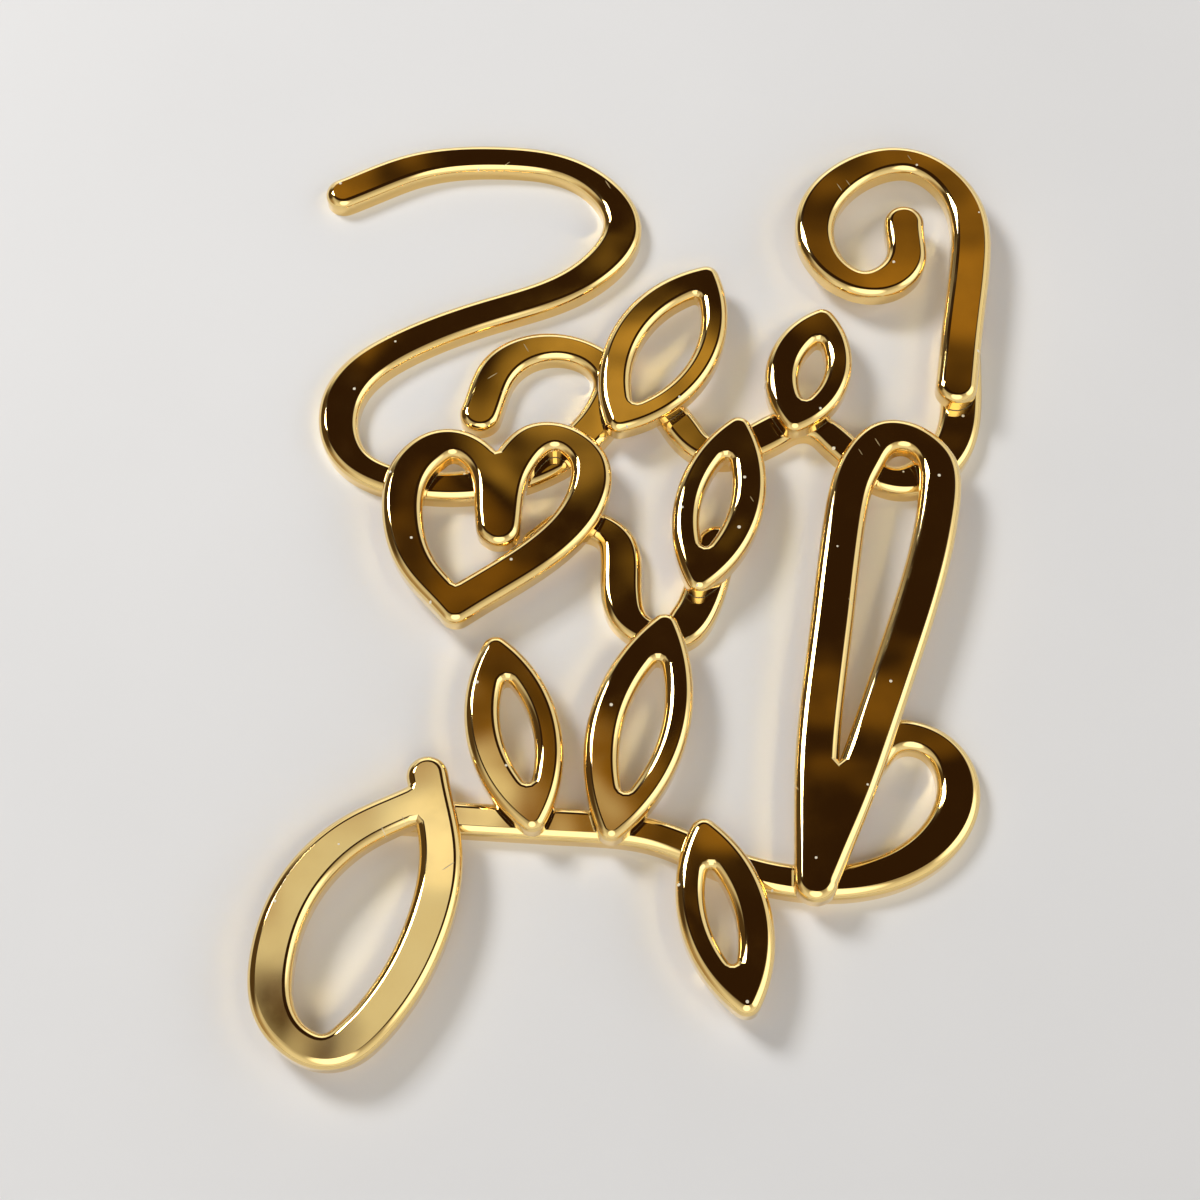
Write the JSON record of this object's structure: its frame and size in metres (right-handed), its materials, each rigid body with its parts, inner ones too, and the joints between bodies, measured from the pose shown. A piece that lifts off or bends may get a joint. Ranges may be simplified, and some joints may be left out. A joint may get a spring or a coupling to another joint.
{
  "type": "cake topper",
  "caption": "Flat cake topper: a lapped flourish of bevelled mirror-gold scrolls, vines, leaves, loops and a heart that lies on icing or a board as a decoration.",
  "frame": {"origin": "on the table plane, under the middle of the whole flourish", "axes": "+X to the right of the flourish, +Y up the flourish towards the crown scroll, +Z out of the mirror faces"},
  "size_m": [0.1066, 0.1472, 0.0062],
  "materials": {
    "mirror_gold": "acrylic, vacuum-metallised mirror gold with polished bevels",
    "clear_adhesive": "clear cured acrylic adhesive"
  },
  "bodies": {
    "root": {"crown_scroll": "mirror_gold", "upper_vine": "mirror_gold", "ripple": "mirror_gold", "lower_vine": "mirror_gold", "crook": "mirror_gold", "middle_heart": "mirror_gold", "teardrop_loop": "mirror_gold", "tall_loop": "mirror_gold", "upper_leaf": "mirror_gold", "bud_leaf": "mirror_gold", "hanging_leaf": "mirror_gold", "left_leaf": "mirror_gold", "centre_leaf": "mirror_gold", "right_leaf": "mirror_gold", "bond_pads": "clear_adhesive"}
  },
  "joints": []
}
